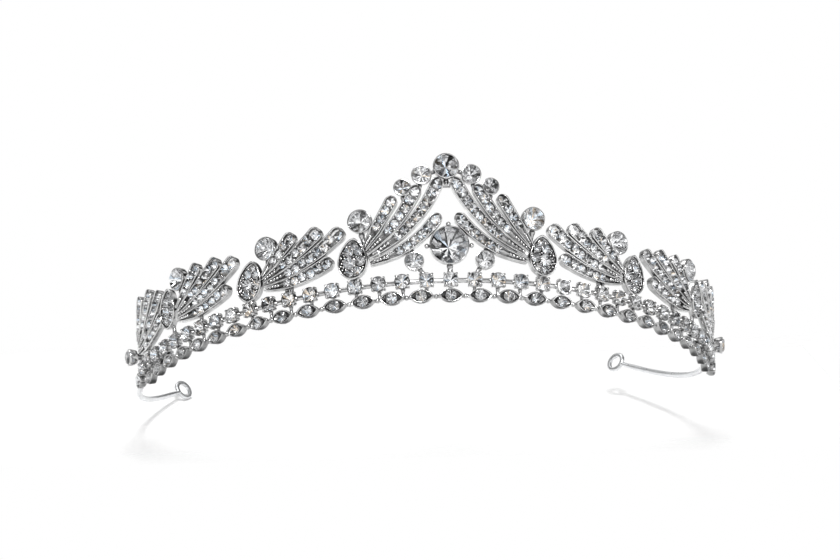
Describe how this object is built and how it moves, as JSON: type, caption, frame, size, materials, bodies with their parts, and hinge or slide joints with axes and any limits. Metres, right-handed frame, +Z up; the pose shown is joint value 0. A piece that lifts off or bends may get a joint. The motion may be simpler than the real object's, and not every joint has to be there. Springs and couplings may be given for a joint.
{
  "type": "bridal tiara",
  "caption": "Open-backed bridal tiara: crystal rails carry pavé wings, pear clusters and a round-stone crest, on wire arms with eyelets.",
  "frame": {"origin": "centre of the tiara's box, on the level that its lower rail stands on", "axes": "+Z up towards the crest, -Y is the front with the stones' faces, +X to the right as seen from the front"},
  "size_m": [0.1444, 0.1302, 0.0331],
  "materials": {
    "plated_casting": "bright rhodium-coloured plating over a zinc alloy casting, darker in the recesses",
    "plated_setting": "bright silver-coloured plated brass settings",
    "solder_wire": "plated wire posts and links with soft solder",
    "arm_wire": "smooth white-silver plated spring wire",
    "crystal": "clear machine-cut glass rhinestones with foiled backs"
  },
  "bodies": {
    "root": {"left_arm": "arm_wire", "right_arm": "arm_wire", "upper_rail_cups": "plated_setting", "upper_rail_links": "solder_wire", "upper_rail_stones": "crystal", "lower_rail_settings": "plated_setting", "lower_rail_links": "solder_wire", "lower_rail_stones": "crystal", "rail_posts": "solder_wire", "rail_end_cups": "plated_setting", "rail_end_stones": "crystal", "wing_1_left": "plated_casting", "wing_1_right": "plated_casting", "wing_2_left": "plated_casting", "wing_2_right": "plated_casting", "wing_3_left": "plated_casting", "wing_3_right": "plated_casting", "wing_4_left": "plated_casting", "wing_4_right": "plated_casting", "wing_1_left_stones": "crystal", "wing_1_right_stones": "crystal", "wing_2_left_stones": "crystal", "wing_2_right_stones": "crystal", "wing_3_left_stones": "crystal", "wing_3_right_stones": "crystal", "wing_4_left_stones": "crystal", "wing_4_right_stones": "crystal", "pear_1_left": "plated_casting", "pear_1_right": "plated_casting", "pear_2_left": "plated_casting", "pear_2_right": "plated_casting", "pear_3_left": "plated_casting", "pear_3_right": "plated_casting", "pear_1_left_stones": "crystal", "pear_1_right_stones": "crystal", "pear_2_left_stones": "crystal", "pear_2_right_stones": "crystal", "pear_3_left_stones": "crystal", "pear_3_right_stones": "crystal", "stalk_bezels": "plated_setting", "stalk_stones": "crystal", "stalk_posts": "solder_wire", "crest_top_bezel": "plated_setting", "crest_top_stone": "crystal", "crest_bridge": "solder_wire", "crest_side_bezels": "plated_setting", "crest_side_stones": "crystal", "crest_side_posts": "solder_wire", "centre_bezel": "plated_setting", "centre_stone": "crystal", "centre_post": "solder_wire", "centre_beads": "solder_wire", "side_bezels": "plated_setting", "side_stones": "crystal", "side_posts": "solder_wire", "wing_struts": "solder_wire", "end_bezels": "plated_setting", "end_stones": "crystal"}
  },
  "joints": []
}
